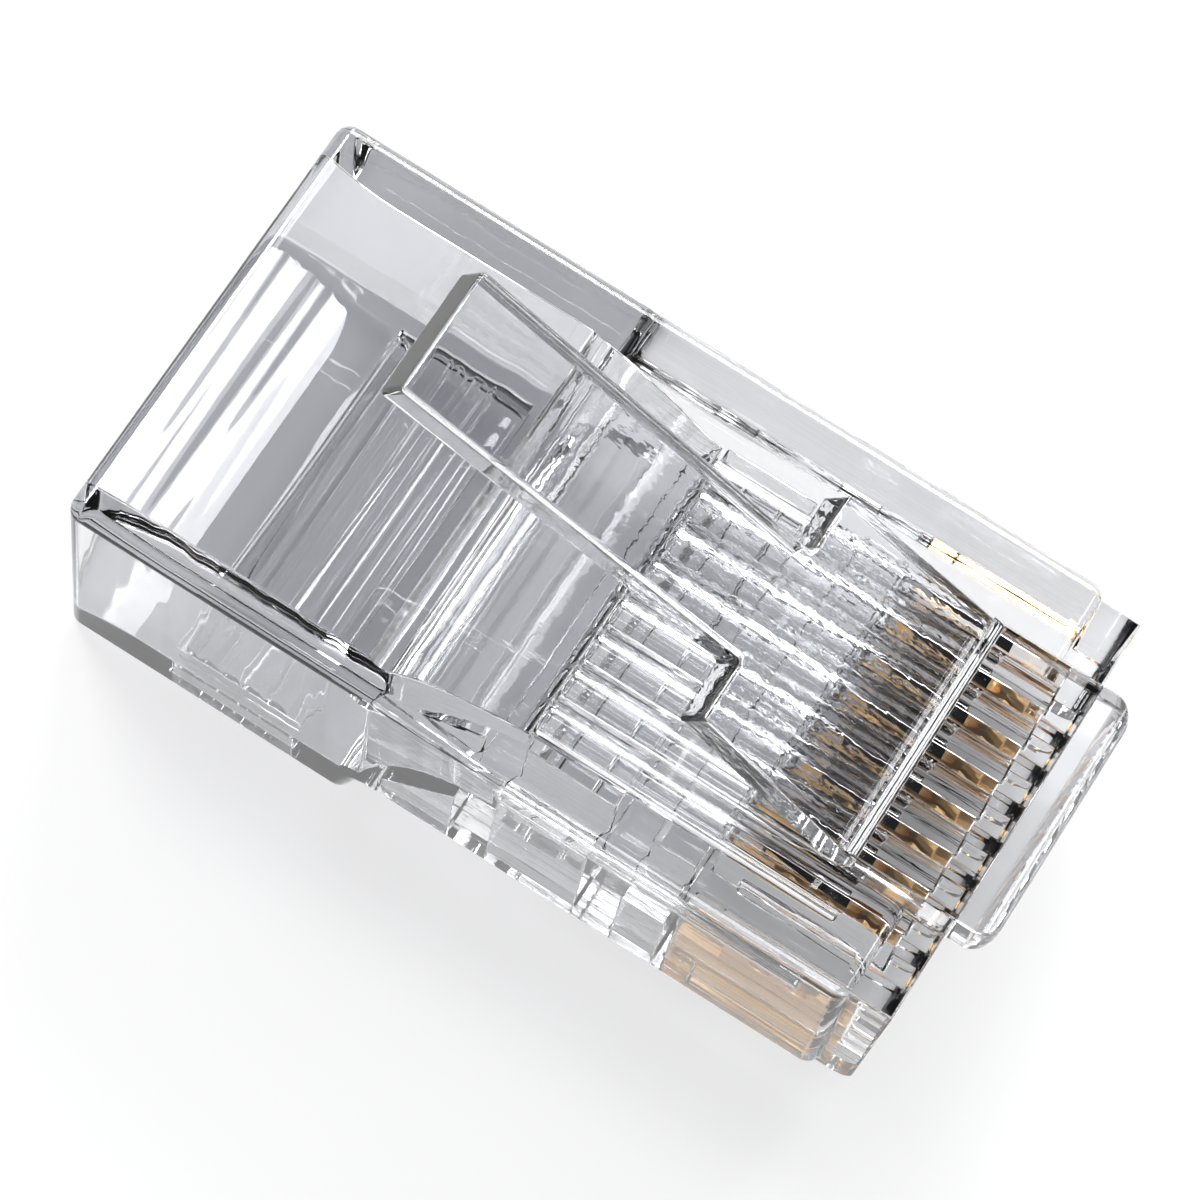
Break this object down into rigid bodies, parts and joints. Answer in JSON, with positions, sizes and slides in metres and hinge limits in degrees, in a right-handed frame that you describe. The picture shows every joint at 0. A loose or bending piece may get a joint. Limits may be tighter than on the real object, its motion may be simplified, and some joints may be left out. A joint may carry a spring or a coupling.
{
  "type": "modular plug",
  "caption": "Clear eight-way modular plug for network cable, uncrimped, with sprung latch lever, gold contact blades, clamp bars and an open cable cavity.",
  "frame": {"origin": "under the middle of the whole plug, level with the underside of its rear block", "axes": "-Y out of the front lip that enters the jack, +Y out of the cable entry, +Z towards the latch side, X across the contacts"},
  "size_m": [0.0116, 0.023, 0.0152],
  "materials": {
    "clear_polycarbonate": "clear, polished moulding",
    "gold_plate": "thin gold plating over phosphor bronze"
  },
  "bodies": {
    "housing": {"housing": "clear_polycarbonate"},
    "latch": {"latch_lever": "clear_polycarbonate"},
    "jacket_grip": {"jacket_clamp": "clear_polycarbonate"},
    "wire_grip": {"wire_clamp": "clear_polycarbonate"},
    "blades": {"contact_1": "gold_plate", "contact_2": "gold_plate", "contact_3": "gold_plate", "contact_4": "gold_plate", "contact_5": "gold_plate", "contact_6": "gold_plate", "contact_7": "gold_plate", "contact_8": "gold_plate"}
  },
  "joints": [
    {"name": "latch_flex", "type": "hinge", "parent": "housing", "child": "latch", "pos_m": [0, -0.0073, 0.00864], "axis": [-1, 0, 0], "range_deg": [0, 24], "stiffness_Nm_per_rad": 0.05},
    {"name": "jacket_crimp", "type": "hinge", "parent": "housing", "child": "jacket_grip", "pos_m": [0, 0.00531, 0.00012], "axis": [1, 0, 0], "range_deg": [0, 22]},
    {"name": "wire_crimp", "type": "hinge", "parent": "housing", "child": "wire_grip", "pos_m": [0, -0.0003, 0.00376], "axis": [-1, 0, 0], "range_deg": [0, 12]},
    {"name": "blade_crimp", "type": "slide", "parent": "housing", "child": "blades", "axis": [0, 0, 1], "range_m": [0, 0.00065]}
  ]
}
